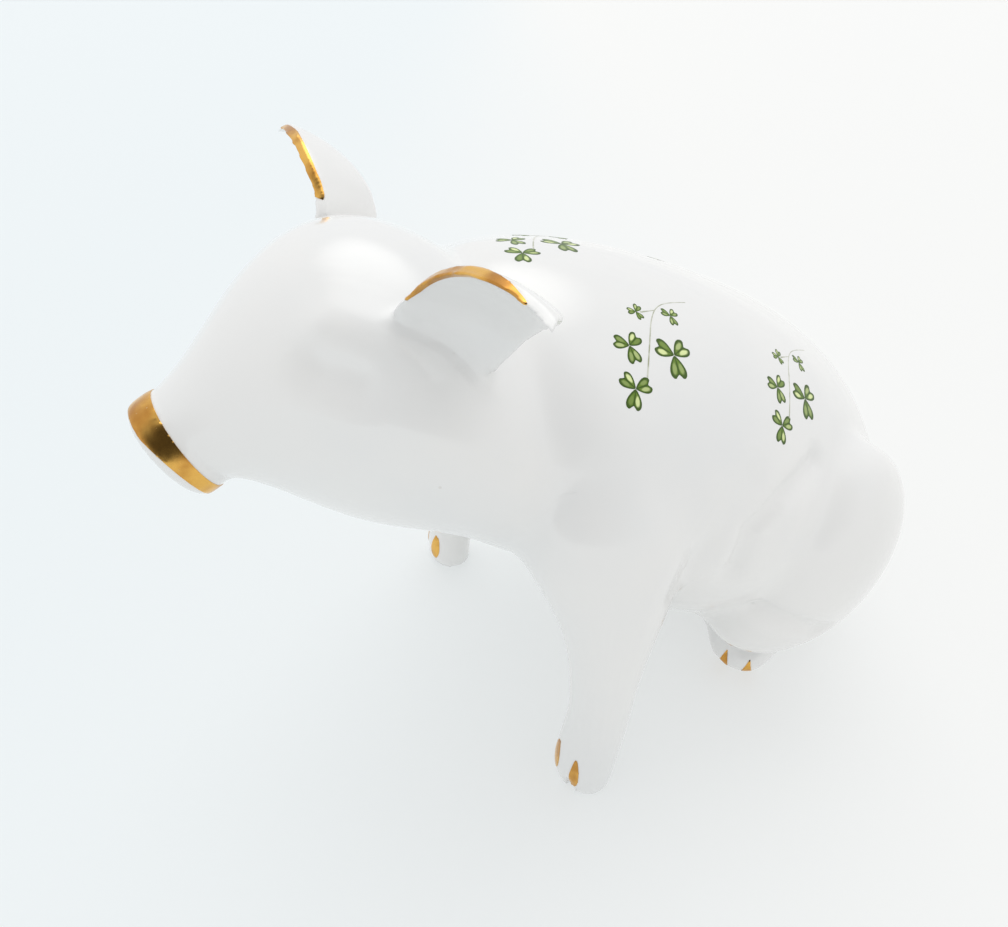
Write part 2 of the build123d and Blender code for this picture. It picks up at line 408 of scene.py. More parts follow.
@dataclass(frozen=True)
class CloverInk(Coating):
    """The green print of a clover leaflet, dark at its edge and rib and pale in its two lobes."""

    name: str = "clover_print"
    dark: Colour = (0.040, 0.085, 0.006, 1.0)
    green: Colour = (0.130, 0.220, 0.022, 1.0)
    pale: Colour = (0.720, 0.800, 0.380, 1.0)

    def draw(self, sheet: Sheet) -> None:
        """Draws the leaf print on the leaflet's own map."""
        spread = sheet.add("ShaderNodeUVMap", {"uv_map": "leaf"}, {}).outputs["UV"]
        parts = sheet.add("ShaderNodeSeparateXYZ", {}, {"Vector": spread})
        across = Signal(sheet, parts.outputs["X"]) * 2.0 - 1.0
        along = Signal(sheet, parts.outputs["Y"]) * 2.0 - 1.0
        wander = sheet.noise(sheet.place(), 900.0, 2.0) - 0.5
        edge = (across**2.0 + along**2.0) ** 0.5 + wander * 0.25
        tone = sheet.add("ShaderNodeAttribute", {"attribute_name": "lobes"}, {}).outputs["Vector"]
        tones = sheet.add("ShaderNodeSeparateXYZ", {}, {"Vector": tone})
        left = Signal(sheet, tones.outputs["X"])
        right = Signal(sheet, tones.outputs["Y"])
        paleness = left + (right - left) * across.step(-0.04, 0.04)
        lobe = ((abs(across) - 0.44) / 0.36) ** 2.0 + ((along - 0.12) / 0.62) ** 2.0 + wander * 0.8
        leaf = sheet.blend((1.0 - lobe.step(0.30, 1.0)) * paleness, self.green, self.pale)
        line = edge.step(0.62, 0.86).math("MAXIMUM", 1.0 - abs(across).step(0.05, 0.17))
        sheet.principled(
            {
                "Base Color": sheet.blend(line * 0.9, leaf, self.dark),
                "Roughness": 0.30 + edge * 0.06,
                "Specular IOR Level": 0.3,
            }
        )


@dataclass(frozen=True)
class StemInk(Coating):
    """The thin olive-grey line of a clover stem."""

    name: str = "stem_print"
    dense: Colour = (0.36, 0.38, 0.26, 1.0)
    faint: Colour = (0.62, 0.63, 0.54, 1.0)

    def draw(self, sheet: Sheet) -> None:
        """Draws the stem print."""
        broken = sheet.noise(sheet.place(), 700.0, 2.0)
        colour = sheet.blend(broken.step(0.35, 0.65), self.dense, self.faint)
        rough = 0.2 + broken * 0.1
        sheet.principled({"Base Color": colour, "Roughness": rough, "Coat Weight": 0.4})


@dataclass(eq=False)
class Casting:
    """One CAD casting that takes part in the skin: how far it is blended at its seam."""

    node: str
    piece: str
    blend: float
    reach: float = 0.0095
    low: Vector = field(default_factory=Vector)
    high: Vector = field(default_factory=Vector)
    tree: BVHTree | None = None

    def read(self) -> Item:
        """Copies the CAD node, keeps its box and search tree and returns the copy."""
        copy = Bench.casting_copy(self.node)
        self.low, self.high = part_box(self.node)
        self.tree = Bench.tree(copy)
        return copy

    def distance(self, point: Vector) -> float:
        """How far a point lies from the casting's surface, or from its box where that is far."""
        gap = max(max(self.low[i] - point[i], point[i] - self.high[i]) for i in range(3))
        if gap > self.reach:
            return gap
        return self.tree.find_nearest(point)[3]


@dataclass
class Touch:
    """A soft stroke of the modelling tool: out where its depth is above zero and in where below."""

    path: Sequence[Point]
    radius: float
    depth: float
    push: Point | None = None
    fade: float = 3.0
    stride: float = 12.0

    def move(self, point: Vector, normal: Vector, side: Side) -> Vector:
        """How the stroke on one side moves a point, along its normal or the stroke's own way."""
        spots = [side.place(*spot) for spot in self.path]
        reach = self.radius * MM
        nearest = min((point - spot).length for spot in spots)
        if nearest > self.fade * reach + self.stride * MM:
            return Vector()
        for start, end in zip(spots, spots[1:]):
            run = end - start
            share = max(0.0, min(1.0, (point - start).dot(run) / run.length_squared))
            nearest = min(nearest, (point - start - run * share).length)
        way = side.place(*self.push).normalized() if self.push else normal
        return way * (self.depth * MM * math.exp(-((nearest / reach) ** 2)))


@dataclass
class Skin:
    """The glazed skin over all castings, and the cuts that part it again along their seams."""

    voxel: float = 0.465
    even_rounds: int = 12
    blend_rounds: int = 160
    rim_rounds: int = 32
    rim_width: float = 2.6
    snout_rounding: float = 0.35
    ear_thinning: float = 0.25
    ear_depth: float = 4.0
    ear_near: float = 0.9
    ear_root: Pair = (1.5, 6.0)
    ray_start: float = 0.1
    least_move: float = 0.02
    seam_reach: float = 8.0
    worked_rounds: int = 5
    crease: float = 0.03
    crease_rings: int = 3
    crease_rounds: int = 25
    snout_from: float = -57.0
    foot_below: float = 0.6
    vent: Point = (0.0, 37.2, 5.0)
    vent_plug_radius: float = 4.5
    vent_plug_height: float = 6.0
    neck: float = -19.76
    touches: Sequence[Touch] = (
        Touch(((12.5, -41.0, 84.6), (16.5, -36.5, 83.8)), 3.0, 0.7),
        Touch(((14.6, -42.8, 81.0), (17.6, -39.6, 80.2)), 2.6, -0.7),
        Touch(
            ((30.5, 8.5, 58.0), (32.3, 3.0, 53.2), (32.3, 0.0, 50.0), (33.8, -4.5, 45.6)), 2.8, -0.6
        ),
        Touch(
            ((28.3, 23.4, 55.5), (31.2, 14.3, 54.0), (32.6, 8.3, 51.3), (33.0, 6.5, 44.0)),
            1.9,
            -1.0,
        ),
        Touch(((33.4, 18.0, 41.5), (33.2, 13.0, 40.0), (31.8, 17.0, 49.5)), 7.0, 0.8),
        Touch(
            ((33.2, 15.4, 31.2), (36.6, 20.6, 28.1), (37.2, 26.5, 24.2)),
            2.2,
            1.4,
            (-0.85, 0.45, 0.25),
        ),
        Touch(((20.5, 23.0, 3.5), (27.5, 28.0, 3.5)), 6.5, 4.0, (0.57, -0.82, 0.0)),
    )

    def castings(self) -> list[Casting]:
        """The castings in the order in which they are parted from the torso, which comes last."""
        pairs = (("ear", 1.6), ("front_leg", 8.0), ("hind_leg", 6.0))
        blends = {side.node(name): blend for name, blend in pairs for side in Side}
        blends.update(tail=1.0, head_shell=6.0, body_shell=6.0)
        return [
            Casting(node, f"glazed_{node.removesuffix('_shell')}", blend)
            for node, blend in blends.items()
        ]

    def plug(self) -> Item:
        """A stopper over the vent's inner end, which makes the vent a blind hole."""
        Bench.pick(next(iter(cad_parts.values())))
        bpy.ops.object.select_all(action="DESELECT")
        bpy.ops.mesh.primitive_cylinder_add(
            vertices=32,
            radius=self.vent_plug_radius * MM,
            depth=self.vent_plug_height * MM,
            location=Vector(self.vent) * MM,
        )
        stopper = bpy.context.object
        bpy.ops.object.transform_apply(location=True, rotation=True, scale=True)
        return stopper

    def build(self, castings: Sequence[Casting]) -> Item:
        """Joins the castings, makes one even skin of them and models its soft details.

        Args:
            castings: the castings, which are read here.

        Returns:
            The whole skin.
        """
        copies = [casting.read() for casting in castings]
        copies.append(self.plug())
        Bench.pick(*copies)
        bpy.ops.object.join()
        skin = bpy.context.object
        skin.name = "pig_skin"
        size = self.voxel * MM
        Bench.modify(skin, "REMESH", mode="VOXEL", voxel_size=size, use_smooth_shade=True)
        skin = self.outer_shell(skin)
        for _ in range(self.even_rounds):
            Bench.modify(skin, "SMOOTH", factor=SMOOTH_STEP, iterations=1)
            Bench.modify(skin, "SMOOTH", factor=SMOOTH_BACK, iterations=1)
        self.soften_seams(skin, castings)
        self.thin_ears(skin, castings)
        self.round_rims(skin)
        self.model(skin)
        self.pool_creases(skin)
        Bench.pick(skin)
        bpy.ops.object.shade_smooth()
        LOG.info("skin: %d faces", len(skin.data.polygons))
        return skin

    @staticmethod
    def keep_normals(skin: Item) -> None:
        """Stores the whole skin's normals, so that the parted castings shade as one surface."""
        normals = skin.data.attributes.new(SKIN_NORMAL, "FLOAT_VECTOR", "POINT")
        for vert in skin.data.vertices:
            normals.data[vert.index].vector = vert.normal

    @staticmethod
    def outer_shell(skin: Item) -> Item:
        """Keeps and returns the shell with the largest box and removes what lies inside."""
        Bench.edit(skin)
        bpy.ops.mesh.separate(type="LOOSE")
        Bench.done()
        shells = sorted(bpy.context.selected_objects, key=lambda shell: shell.dimensions.length)
        outer = shells.pop()
        if shells:
            Bench.drop(*shells)
        outer.name = "pig_skin"
        return outer

    def soften_seams(self, skin: Item, castings: Sequence[Casting]) -> None:
        """Smooths the skin where two castings meet, over each casting's own blend width."""
        weights = {}
        for vert in skin.data.vertices:
            gaps = [(casting.distance(vert.co), place) for place, casting in enumerate(castings)]
            near = sorted(gaps)[:2]
            pair = [castings[place] for _, place in near]
            kinds = {casting.node.split("_", 1)[-1] for casting in pair}
            widest = max if kinds == {"front_leg", "shell"} else min
            weight = 1.0 - ramp(near[1][0], 0.0, widest(casting.blend for casting in pair) * MM)
            if weight > 0.0:
                weights[vert.index] = weight
        Bench.soften(skin, weights, self.blend_rounds)

    def thin_ears(self, skin: Item, castings: Sequence[Casting]) -> None:
        """Draws the two faces of each ear together away from its root, so that it thins out."""
        tree = Bench.tree(skin)
        head = next(casting for casting in castings if casting.node == "head_shell")
        ears = [casting for casting in castings if casting.node.endswith("ear")]
        moves = {}
        for vert in skin.data.vertices:
            if min(ear.distance(vert.co) for ear in ears) > self.ear_near * MM:
                continue
            share = ramp(head.distance(vert.co), *(end * MM for end in self.ear_root))
            inward = -vert.normal
            start = vert.co + inward * self.ray_start * MM
            depth = tree.ray_cast(start, inward, self.ear_depth * MM)[3]
            if share > 0.0 and depth is not None:
                moves[vert.index] = inward * depth * self.ear_thinning * share
        for index, move in moves.items():
            skin.data.vertices[index].co += move

    def round_rims(self, skin: Item) -> None:
        """Rounds the rims of the thin ears and, less, of the snout, as glaze does."""
        weights = {}
        films = {Casting(side.node("ear_gilding"), "", 0.0): 1.0 for side in Side}
        films[Casting("snout_gilding", "", 0.0)] = self.snout_rounding
        guides = [film.read() for film in films]
        for vert in skin.data.vertices:
            weight = max(
                share * (1.0 - ramp(film.distance(vert.co), 0.0, self.rim_width * MM))
                for film, share in films.items()
            )
            if weight > 0.0:
                weights[vert.index] = weight
        Bench.drop(*guides)
        Bench.soften(skin, weights, self.rim_rounds)

    def pool_creases(self, skin: Item) -> None:
        """Lets the glaze pool in tight hollow creases, not in the nostrils or under the feet."""
        mesh = bmesh.new()
        mesh.from_mesh(skin.data)
        mesh.normal_update()
        tight = set()
        for vert in mesh.verts:
            if vert.co.y > self.snout_from * MM and vert.co.z > self.foot_below * MM:
                ring = [edge.other_vert(vert).co for edge in vert.link_edges]
                mean = sum(ring, Vector()) / len(ring)
                if (mean - vert.co).dot(vert.normal) > self.crease * MM:
                    tight.add(vert)
        for _ in range(self.crease_rings):
            tight |= {edge.other_vert(vert) for vert in tight for edge in vert.link_edges}
        weights = {vert.index: 1.0 for vert in tight}
        mesh.free()
        Bench.soften(skin, weights, self.crease_rounds)

    def model(self, skin: Item) -> None:
        """Works the soft strokes into both sides of the skin."""
        moves = {}
        for vert in skin.data.vertices:
            side = Side.LEFT if vert.co.x > 0 else Side.RIGHT
            move = sum((touch.move(vert.co, vert.normal, side) for touch in self.touches), Vector())
            if move.length > self.least_move * MM:
                moves[vert.index] = move
        for index, move in moves.items():
            skin.data.vertices[index].co += move
        Bench.soften(skin, dict.fromkeys(moves, 1.0), self.worked_rounds)
        for vert in skin.data.vertices:
            vert.co.z = max(0.0, vert.co.z)

    def part(self, skin: Item, castings: Sequence[Casting], finish: Finish) -> None:
        """Cuts the skin into its castings and closes each one.

        Args:
            skin: the whole skin, of which the torso is what stays.
            castings: the castings, the torso last.
            finish: the glaze.
        """
        rest = castings[-2:]
        for casting in castings[:-2]:
            others = rest
            if not casting.node.endswith("leg"):
                others = rest[:1] if casting.node.endswith("ear") else rest[1:]
            piece = Knife.cut(skin, self.seam(casting, others), casting.piece)
            self.close(piece, casting, finish)
        head = Knife.cut(skin, lambda point: point.y - self.neck * MM, rest[0].piece)
        self.close(head, rest[0], finish)
        skin.name = rest[1].piece
        self.close(skin, rest[1], finish)

    def seam(self, casting: Casting, others: Sequence[Casting]) -> Field:
        """A field that is below zero where a casting is nearer than the others."""

        def nearer(point: Vector) -> float:
            """The casting's distance less the nearest other's."""
            own = casting.distance(point)
            if own > self.seam_reach * MM:
                return own
            return own - min(other.distance(point) for other in others)

        return nearer

    @staticmethod
    def close(piece: Item, casting: Casting, finish: Finish) -> None:
        """Fills the cut of a casting, keeps the whole skin's normals and fits it out."""
        Knife.fill(piece)
        Bench.fit_out(piece, finish, "porcelain", casting.node)


@dataclass
class EarTilt:
    """Small turns of one thin ear about its root, as it sags in the kiln."""

    side: Side
    turns: Sequence[tuple[float, Point]]
    shift: Point = (0.0, 0.0, 0.0)
    root: float = 8.0
    near: float = 1.6
    seat_gap: float = 0.3

    def apply(self, items: Sequence[Item], castings: Sequence[Casting]) -> None:
        """Turns the ear's points in some meshes, more and more away from the head.

        Args:
            items: the skin and the films on it.
            castings: the castings, which tell ear from head.
        """
        by_node = {casting.node: casting for casting in castings}
        head, ear = by_node["head_shell"], by_node[self.side.node("ear")]
        corners = [vert.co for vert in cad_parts[ear.node].data.vertices]
        seat = [corner for corner in corners if head.distance(corner) < self.seat_gap * MM]
        pivot = sum(seat, Vector()) / len(seat)
        for item in items:
            for vert in item.data.vertices:
                if ear.distance(vert.co) < self.near * MM:
                    share = ramp(head.distance(vert.co), 0.0, self.root * MM)
                    arm = vert.co - pivot
                    for angle, axis in self.turns:
                        arm = Quaternion(axis, math.radians(angle) * share) @ arm
                    vert.co = pivot + arm + Vector(self.shift) * MM * share
            item.data.update()


@dataclass
class FootTurn:
    """An outward turn of both front trotters about their legs."""

    angle: float = 10.0
    pivot: Point = (30.0, -13.8, 0.0)
    low: float = 6.0
    high: float = 18.0
    reach: float = 12.0

    def apply(self, items: Sequence[Item]) -> None:
        """Turns the trotters' points in the skin and its films, less and less up the leg."""
        for side in Side:
            pivot = side.place(*self.pivot)
            for item in items:
                for vert in item.data.vertices:
                    arm = vert.co - pivot
                    if vert.co.z < self.high * MM and arm.xy.length < self.reach * MM:
                        share = 1.0 - ramp(vert.co.z, self.low * MM, self.high * MM)
                        turn = math.radians(self.angle) * side.value * share
                        vert.co = pivot + Quaternion((0.0, 0.0, 1.0), turn) @ arm
                item.data.update()


class Knife:
    """Cuts a mesh along the line where a field over its points is zero."""

    LEAST_SHARE = 0.03

    @staticmethod
    def split(mesh: Mesh, line: Field) -> list[bmesh.types.BMFace]:
        """Splits the faces along the line.

        Args:
            mesh: the mesh to split.
            line: the field.

        Returns:
            The faces where the field is below zero.
        """
        normals = mesh.verts.layers.float_vector.get(SKIN_NORMAL)
        values = {vert: line(vert.co) for vert in mesh.verts}
        crossed = [
            edge for edge in mesh.edges if len({values[vert] < 0 for vert in edge.verts}) == 2
        ]
        fresh = []
        for edge in crossed:
            first, second = edge.verts
            share = values[first] / (values[first] - values[second])
            share = min(1.0 - Knife.LEAST_SHARE, max(Knife.LEAST_SHARE, share))
            normal = first[normals].lerp(second[normals], share) if normals else None
            vert = bmesh.utils.edge_split(edge, first, share)[1]
            if normals:
                vert[normals] = normal
            values[vert] = 0.0
            fresh.append(vert)
        if fresh:
            bmesh.ops.connect_verts(mesh, verts=fresh)
        return [face for face in mesh.faces if sum(values[vert] for vert in face.verts) < 0]

    @staticmethod
    def cut(item: Item, line: Field, name: str) -> Item:
        """Moves the part of an object where the field is below zero to a new object.

        Args:
            item: the object, which keeps the rest.
            line: the field.
            name: the new object's name.

        Returns:
            The new object.
        """
        mesh = bmesh.new()
        mesh.from_mesh(item.data)
        inside = mesh.faces.layers.int.new("inside")
        for face in Knife.split(mesh, line):
            face[inside] = 1
        taken = mesh.copy()
        mark = taken.faces.layers.int["inside"]
        Bench.clear(taken, [face for face in taken.faces if not face[mark]])
        Bench.clear(mesh, [face for face in mesh.faces if face[inside]])
        for half in (taken, mesh):
            half.faces.layers.int.remove(half.faces.layers.int["inside"])
        mesh.to_mesh(item.data)
        mesh.free()
        return Bench.finished(name, taken)

    @staticmethod
    def fill(piece: Item) -> None:
        """Closes a piece's cuts with inner faces and gives its outside the skin's own normals."""
        mesh = bmesh.new()
        mesh.from_mesh(piece.data)
        cap = mesh.faces.layers.int.new("cap")
        open_edges = [edge for edge in mesh.edges if edge.is_boundary]
        filled = bmesh.ops.holes_fill(mesh, edges=open_edges, sides=0)["faces"]
        for face in bmesh.ops.triangulate(mesh, faces=filled)["faces"]:
            face[cap] = 1
        bmesh.ops.recalc_face_normals(mesh, faces=mesh.faces)
        outside = mesh.verts.layers.float_vector[SKIN_NORMAL]
        agree = sum(face.normal.dot(face.verts[0][outside]) for face in mesh.faces if not face[cap])
        if agree < 0:
            bmesh.ops.reverse_faces(mesh, faces=mesh.faces)
        mesh.to_mesh(piece.data)
        mesh.free()
        data = piece.data
        data.polygons.foreach_set("use_smooth", [True] * len(data.polygons))
        caps = data.attributes["cap"].data
        skin_normals = data.attributes[SKIN_NORMAL].data
        normals = []
        for face in data.polygons:
            flat = caps[face.index].value
            for index in face.vertices:
                normals.append(tuple(face.normal if flat else skin_normals[index].vector))
        data.normals_split_custom_set(normals)
        data.attributes.remove(data.attributes["cap"])
        data.attributes.remove(data.attributes[SKIN_NORMAL])


@dataclass
class Gilding:
    """A film of gold lustre on the skin, where a CAD film lies within its reach."""

    node: str
    piece: str
    reach: float
    profile: Sequence[Pair] = ()
    run: Point = (0.0, 1.0, 0.0)
    front: Point | None = None
    bare: float = 0.3
    proud: float = 0.10
    sunk: float = 0.05
    search: float = 4.0
    margin: float = 2.5
    edge_rounds: int = 8
    crisp: float = 80.0

    def edge(self, cad: Casting, guide: Item) -> Field:
        """The field whose zero is the film's edge.

        Args:
            cad: the CAD film.
            guide: a copy of its mesh.

        Returns:
            The field, which is below zero on the film.
        """
        run = Vector(self.run)
        ends = [vert.co.dot(run) for vert in guide.data.vertices]
        low, high = min(ends), max(ends)
        axis = Vector(self.front).normalized() if self.front else Vector()
        limit = max(vert.co.dot(axis) for vert in guide.data.vertices) - self.bare * MM

        def outside(point: Vector) -> float:
            """How far a point lies outside the film."""
            reach = self.reach
            along = (point.dot(run) - low) / (high - low)
            for (start, first), (end, second) in zip(self.profile, self.profile[1:]):
                if start <= along <= end:
                    reach = first + (second - first) * (along - start) / (end - start)
            gap = cad.distance(point) - reach * MM
            return max(gap, point.dot(axis) - limit) if self.front else gap

        return outside

    def even_edge(self, mesh: Mesh) -> None:
        """Evens the outline of a film, as a brush draws it."""
        for _ in range(self.edge_rounds):
            moves = {}
            for vert in mesh.verts:
                ends = [edge.other_vert(vert) for edge in vert.link_edges if edge.is_boundary]
                if len(ends) == 2:
                    moves[vert] = vert.co.lerp((ends[0].co + ends[1].co) / 2, SMOOTH_STEP)
            for vert, spot in moves.items():
                vert.co = spot

    def build(self, skin: Item, finish: Finish) -> Item:
        """Lifts the film off the skin, cuts its edge and gives it thickness.

        Args:
            skin: the whole skin, which is left as it is.
            finish: the gold.

        Returns:
            The film.
        """
        cad = Casting(self.node, self.piece, 0.0, self.search * MM)
        guide = cad.read()
        mesh = bmesh.new()
        mesh.from_mesh(skin.data)
        keep = (max([self.reach, *(reach for _, reach in self.profile)]) + self.margin) * MM
        near = {vert for vert in mesh.verts if cad.distance(vert.co) < keep}
        Bench.clear(mesh, [face for face in mesh.faces if not near.issuperset(face.verts)])
        bmesh.ops.subdivide_edges(mesh, edges=mesh.edges, cuts=1, use_grid_fill=True)
        film = set(Knife.split(mesh, self.edge(cad, guide)))
        Bench.clear(mesh, [face for face in mesh.faces if face not in film])
        self.even_edge(mesh)
        piece = Bench.finished(self.piece, mesh)
        Bench.drop(guide)
        thickness = self.proud + self.sunk
        offset = (self.proud - self.sunk) / thickness
        Bench.modify(piece, "SOLIDIFY", thickness=thickness * MM, offset=offset)
        Bench.shade(piece, self.crisp)
        Bench.fit_out(piece, finish, "gilding", self.node)
        return piece


@dataclass
class Claws(Gilding):
    """Two pointed gold claws on a trotter, drawn as slim upright blades."""

    side: Side = Side.LEFT
    middle: Pair = (30.0, -18.4)
    turn: float = 18.0
    spacing: float = 4.4
    width: float = 1.7
    length: float = 8.4
    bottom: float = 2.2
    belly: float = 0.62
    behind: float = 4.0
    clear: float = 0.2

    def edge(self, cad: Casting, guide: Item) -> Field:
        """The field whose zero is the outline of the two blades, which needs no CAD film."""
        angle = math.radians(self.turn)
        facing = self.side.place(math.sin(angle), -math.cos(angle), 0.0).normalized()
        across = Vector((-facing.y, facing.x, 0.0))
        middle = self.side.place(*self.middle, 0.0)

        def outside(point: Vector) -> float:
            """How far a point lies beside the nearer blade."""
            up = (point.z / MM - self.bottom) / self.length
            aside = abs(abs((point - middle).dot(across)) / MM - self.spacing / 2)
            if not 0.0 < up < 1.0 or (point - middle).dot(facing) < -self.behind * MM:
                return (self.clear + aside) * MM
            half = self.width / 2 * math.sin(math.pi * up**self.belly)
            return (aside - half) * MM

        return outside


@dataclass
class HindClaws(Claws):
    """The shorter claws of a hind foot."""

    middle: Pair = (25.4, 25.0)
    turn: float = 35.0
    length: float = 6.0
    bottom: float = 1.4


@dataclass
class Leaf:
    """One clover leaf: its place on its sprig, its size, its turn and its lobes' paleness."""

    along: float
    across: float
    size: float
    turn: float
    lobes: Sequence[Pair]


@dataclass
class Sprig:
    """A transfer of five clover leaves on a thin stem, laid on the glaze."""

    name: str
    anchor: Point
    heading: Point
    outward: Point
    lift: float = 0.02
    film: float = 0.04
    cast_from: float = 20.0
    crisp: float = 50.0
    stem_width: float = 0.22
    stem_root: float = 0.45
    leaf_rings: Sequence[float] = (0.12, 0.2, 0.25, 0.25)
    heart_width: float = 0.55
    heart_root: float = 0.26
    heart_swell: float = 0.8
    notch_depth: float = 0.24
    notch_width: float = 0.15
    leaflet_shares: Sequence[float] = (0.60, 0.56, 0.56)
    stalk: float = 0.02
    leaves: Sequence[Leaf] = (
        Leaf(0.6, -1.7, 2.5, 102.0, ((0.2, 0.7), (0.7, 0.2), (0.1, 0.3))),
        Leaf(-3.6, 2.4, 2.9, 320.0, ((0.6, 0.2), (0.3, 0.9), (0.1, 0.4))),
        Leaf(6.4, 0.1, 4.3, 327.0, ((0.3, 0.5), (0.1, 1.0), (0.2, 0.6))),
        Leaf(2.2, 5.6, 5.7, 318.0, ((0.3, 0.3), (1.0, 0.5), (0.1, 1.0))),
        Leaf(10.6, 3.9, 4.6, 300.0, ((0.1, 0.9), (0.6, 0.2), (1.0, 0.2))),
    )
    stems: Sequence[Sequence[Pair]] = (
        ((-9.0, 3.3), (-6.0, 1.2), (-3.0, 0.1), (0.0, 0.5), (3.0, 1.7), (6.0, 3.1), (8.4, 4.4)),
        ((-2.2, 0.2), (-1.0, -0.5), (0.1, -1.2)),
    )

    def frame(self) -> tuple[Vector, Vector, Vector, Vector]:
        """The sprig's anchor and its directions along, across and out."""
        out = Vector(self.outward).normalized()
        along = Vector(self.heading)
        along = (along - out * along.dot(out)).normalized()
        return Vector(self.anchor) * MM, along, out.cross(along), out

    def laid(self, tree: BVHTree, spot: Vector) -> tuple[Vector, Vector]:
        """The point of the glaze under a spot, and the normal there."""
        _, _, _, out = self.frame()
        hit, normal, _, _ = tree.ray_cast(spot + out * self.cast_from * MM, -out)
        if hit is None:
            hit, normal, _, _ = tree.find_nearest(spot)
        return hit, normal

    def leaflet(self) -> Item:
        """A flat heart of unit length with a map of its own, pointing along +Y."""
        bpy.ops.object.select_all(action="DESELECT")
        bpy.ops.mesh.primitive_circle_add(vertices=36, radius=1.0, fill_type="NGON")
        heart = bpy.context.object
        Bench.edit(heart)
        for width in self.leaf_rings:
            bpy.ops.mesh.inset(thickness=width)
        bpy.ops.mesh.poke()
        Bench.done()
        spread = heart.data.uv_layers.new(name="leaf")
        for loop in heart.data.loops:
            spot = heart.data.vertices[loop.vertex_index].co
            spread.data[loop.index].uv = ((spot.x + 1) / 2, (spot.y + 1) / 2)
        for vert in heart.data.vertices:
            x, y, _ = vert.co
            up = (1 + y) / 2
            swell = self.heart_root + (1.0 - self.heart_root) * up**self.heart_swell
            wide = self.heart_width * x * swell
            dip = math.exp(-((wide / self.notch_width) ** 2))
            notch = self.notch_depth * dip * max(0.0, y)
            vert.co = (wide, up - notch, 0.0)
        return heart

    def print_leaf(self, tree: BVHTree, leaf: Leaf) -> list[Item]:
        """Lays one leaf's three leaflets on the glaze.

        Args:
            tree: the search tree of the skin.
            leaf: the leaf.

        Returns:
            The leaflets.
        """
        anchor, along, across, _ = self.frame()
        centre, normal = self.laid(tree, anchor + (along * leaf.along + across * leaf.across) * MM)
        right = (across - normal * across.dot(normal)).normalized()
        up = normal.cross(right)
        laid = []
        for third in range(3):
            angle = math.radians(leaf.turn + 120.0 * third)
            ahead = right * math.cos(angle) + up * math.sin(angle)
            aside = normal.cross(ahead)
            heart = self.leaflet()
            length = leaf.size * self.leaflet_shares[third] * MM
            tone = heart.data.attributes.new("lobes", "FLOAT_VECTOR", "POINT")
            for value in tone.data:
                value.vector = (*leaf.lobes[third], 0.0)
            for vert in heart.data.vertices:
                spot = centre + (ahead * (vert.co.y + self.stalk) + aside * vert.co.x) * length
                hit, out = self.laid(tree, spot)
                vert.co = hit + out * self.lift * MM
            laid.append(heart)
        return laid

    def print_stem(self, tree: BVHTree, path: Sequence[Pair]) -> Item:
        """Lays a stem on the glaze as a narrow ribbon that tapers to its tip.

        Args:
            tree: the search tree of the skin.
            path: the stem's points along and across the sprig.

        Returns:
            The ribbon.
        """
        anchor, along, across, _ = self.frame()
        curve = bpy.data.curves.new("stem", "CURVE")
        curve.dimensions = "3D"
        curve.resolution_u = 10
        spline = curve.splines.new("NURBS")
        spline.points.add(len(path) - 1)
        for point, (ahead, aside) in zip(spline.points, path):
            point.co = (*(anchor + (along * ahead + across * aside) * MM), 1.0)
        spline.order_u = 3
        spline.use_endpoint_u = True
        route = bpy.data.objects.new("stem", curve)
        line = [vert.co.copy() for vert in bpy.data.meshes.new_from_object(route).vertices]
        mesh = bmesh.new()
        rows = []
        for index, spot in enumerate(line):
            hit, normal = self.laid(tree, spot)
            run = line[min(index + 1, len(line) - 1)] - line[max(index - 1, 0)]
            aside = normal.cross(run).normalized()
            taper = self.stem_root + (1.0 - self.stem_root) * index / len(line)
            edge = aside * (self.stem_width * MM / 2 * taper)
            top = hit + normal * self.lift * MM
            rows.append([mesh.verts.new(spot) for spot in (top - edge, top, top + edge)])
        for one, two in zip(rows, rows[1:]):
            for a in range(2):
                mesh.faces.new((one[a], one[a + 1], two[a + 1], two[a]))
        bpy.data.objects.remove(route)
        return Bench.finished("stem", mesh)

    def build(self, skin: BVHTree, leaf_ink: Finish, stem_ink: Finish) -> None:
        """Prints the whole sprig as one piece.

        Args:
            skin: the search tree of the skin.
            leaf_ink: the leaves' print.
            stem_ink: the stem's print.
        """
        ribbons = [self.print_stem(skin, path) for path in self.stems]
        for ribbon in ribbons:
            ribbon.data.materials.append(stem_ink)
        laid = [heart for leaf in self.leaves for heart in self.print_leaf(skin, leaf)]
        for heart in laid:
            heart.data.materials.append(leaf_ink)
        Bench.pick(*laid, *ribbons)
        bpy.ops.object.join()
        sprig = bpy.context.object
        sprig.name = self.name
        Bench.edit(sprig)
        bpy.ops.mesh.normals_make_consistent(inside=False)
        Bench.done()
        self.face_out(sprig, skin)
        Bench.modify(sprig, "SOLIDIFY", thickness=self.film * MM, offset=-1.0)
        Bench.shade(sprig, self.crisp)
        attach(sprig, BODY)
        LOG.info("%s: %d faces", sprig.name, len(sprig.data.polygons))

    @staticmethod
    def face_out(sprig: Item, skin: BVHTree) -> None:
        """Turns every face of the print away from the glaze."""
        mesh = bmesh.new()
        mesh.from_mesh(sprig.data)
        mesh.normal_update()
        for face in mesh.faces:
            _, normal, _, _ = skin.find_nearest(face.calc_center_median())
            if face.normal.dot(normal) < 0:
                face.normal_flip()
        mesh.to_mesh(sprig.data)
        mesh.free()


